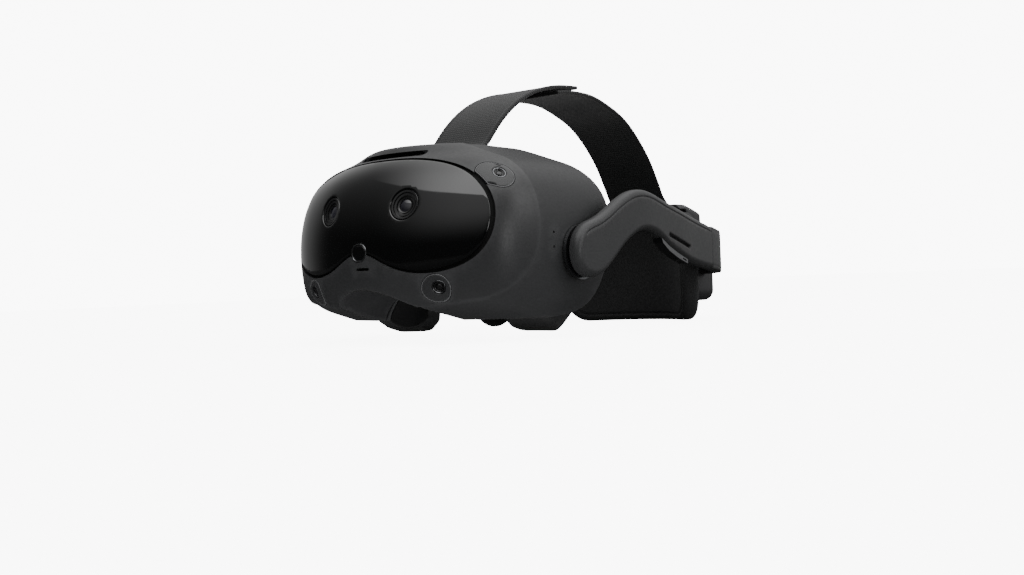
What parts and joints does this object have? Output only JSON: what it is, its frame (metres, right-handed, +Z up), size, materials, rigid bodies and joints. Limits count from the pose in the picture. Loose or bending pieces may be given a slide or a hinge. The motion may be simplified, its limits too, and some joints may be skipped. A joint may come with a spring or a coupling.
{
  "type": "vr headset",
  "caption": "Standalone VR headset with glossy front shield, side arms pivoting on the visor, rear cradle with fit dial and battery, face gasket and soft top strap.",
  "frame": {"origin": "middle of the footprint, on the surface the headset rests on", "axes": "+Z up, -Y the way the wearer faces, +X the wearer's left"},
  "size_m": [0.212, 0.3734, 0.1776],
  "materials": {
    "shield": "high gloss, near black",
    "front_plastic": "satin dark grey",
    "side_plastic": "satin dark grey, fine texture",
    "camera_cover": "smooth satin",
    "camera_black": "black",
    "lens_glass": "coated lens",
    "window": "infrared window",
    "grille_black": "matte black",
    "inner_plastic": "matte black",
    "steel": "ground steel",
    "ring_metal": "dark anodised",
    "alloy": "bare",
    "board": "solder mask",
    "panel": "display glass",
    "key_plastic": "satin",
    "arm_plastic": "soft satin grey",
    "speaker_metal": "dark polished",
    "rack_plastic": "nylon",
    "cushion_fabric": "knitted cover on foam",
    "rubber": "soft matte",
    "strap_fabric": "woven elastic",
    "battery_plastic": "satin"
  },
  "bodies": {
    "visor": {"front_shield": "shield", "front_housing": "front_plastic", "rear_housing": "side_plastic", "colour_camera_left": "camera_black", "colour_camera_right": "camera_black", "colour_lenses": "lens_glass", "depth_window": "window", "upper_camera_cover_left": "camera_cover", "upper_camera_cover_right": "camera_cover", "lower_camera_cover_left": "camera_cover", "lower_camera_cover_right": "camera_cover", "tracking_lenses": "camera_black", "vent_grille": "grille_black", "inner_cover": "inner_plastic", "guide_rods": "steel", "ipd_motor": "alloy", "main_board": "board", "heat_sink": "alloy", "fan_housing": "inner_plastic", "nose_cover": "side_plastic", "usb_socket": "steel", "headphone_socket": "inner_plastic", "pivot_pin_left": "steel", "pivot_pin_right": "steel", "pivot_rings": "ring_metal", "strap_anchor_front": "front_plastic", "board_screws": "steel"},
    "fan": {"fan_rotor": "inner_plastic"},
    "lens_unit_left": {"lens_barrel_left": "inner_plastic", "lens_left": "lens_glass", "display_left": "panel"},
    "lens_unit_right": {"lens_barrel_right": "inner_plastic", "lens_right": "lens_glass", "display_right": "panel"},
    "spindle": {"lead_screw": "steel"},
    "power": {"power_key": "key_plastic"},
    "volume": {"volume_key": "key_plastic"},
    "gasket": {"face_cushion": "cushion_fabric", "face_cushion_frame": "inner_plastic", "nose_flap": "rubber"},
    "headband": {"arm_left": "arm_plastic", "arm_right": "arm_plastic", "arm_cover_left": "inner_plastic", "arm_cover_right": "inner_plastic", "speaker_left": "inner_plastic", "speaker_right": "inner_plastic", "speaker_duct_left": "speaker_metal", "speaker_duct_right": "speaker_metal", "fit_rack_left": "rack_plastic", "fit_rack_right": "rack_plastic", "strap_front": "strap_fabric", "strap_rear": "strap_fabric"},
    "cradle": {"rear_cradle": "arm_plastic", "cradle_cover": "inner_plastic"},
    "dial": {"fit_dial": "key_plastic", "fit_pinion": "rack_plastic"},
    "battery": {"battery_pack": "battery_plastic"},
    "latch": {"battery_latch": "key_plastic"},
    "rear_cushion": {"rear_pad": "cushion_fabric", "rear_pad_base": "inner_plastic"}
  },
  "joints": [
    {"name": "headband_tilt", "type": "hinge", "parent": "visor", "child": "headband", "pos_m": [0, -0.0877, 0.053], "axis": [1, 0, 0], "range_deg": [-12, 12]},
    {"name": "cradle_slide", "type": "slide", "parent": "headband", "child": "cradle", "axis": [0, 1, 0], "range_m": [0, 0.016]},
    {"name": "fit_dial_spin", "type": "hinge", "parent": "cradle", "child": "dial", "pos_m": [0, 0.1753, 0.031], "axis": [0, 1, 0], "range_deg": [-2, 122]},
    {"name": "battery_pull", "type": "slide", "parent": "cradle", "child": "battery", "axis": [0, 1, 0], "range_m": [0, 0.03]},
    {"name": "latch_press", "type": "slide", "parent": "cradle", "child": "latch", "axis": [0, 0, -1], "range_m": [0, 0.0016], "stiffness_N_per_m": 600},
    {"name": "rear_pad_pull", "type": "slide", "parent": "cradle", "child": "rear_cushion", "axis": [0, -1, 0], "range_m": [0, 0.03]},
    {"name": "gasket_pull", "type": "slide", "parent": "visor", "child": "gasket", "axis": [0, 1, 0], "range_m": [0, 0.03]},
    {"name": "ipd_left", "type": "slide", "parent": "visor", "child": "lens_unit_left", "axis": [1, 0, 0], "range_m": [-0.0035, 0.004]},
    {"name": "ipd_right", "type": "slide", "parent": "visor", "child": "lens_unit_right", "axis": [-1, 0, 0], "range_m": [-0.0035, 0.004]},
    {"name": "screw_spin", "type": "hinge", "parent": "visor", "child": "spindle", "pos_m": [0, -0.1312, 0.1], "axis": [1, 0, 0], "range_deg": [-320, 365]},
    {"name": "fan_spin", "type": "hinge", "parent": "visor", "child": "fan", "pos_m": [0, -0.1627, 0.084], "axis": [0, 1, 0], "continuous": true},
    {"name": "power_press", "type": "slide", "parent": "visor", "child": "power", "axis": [1, 0, 0], "range_m": [0, 0.0006], "stiffness_N_per_m": 500},
    {"name": "volume_rock", "type": "hinge", "parent": "visor", "child": "volume", "pos_m": [-0.0886, -0.1137, 0.054], "axis": [0, 1, 0], "range_deg": [-1.8, 1.8], "stiffness_Nm_per_rad": 0.3}
  ],
  "couplings": [
    {"joint": "fit_dial_spin", "follows": "cradle_slide", "rad_per_m": 128.21},
    {"joint": "ipd_right", "follows": "ipd_left", "ratio": 1},
    {"joint": "screw_spin", "follows": "ipd_left", "rad_per_m": 1570.8}
  ]
}
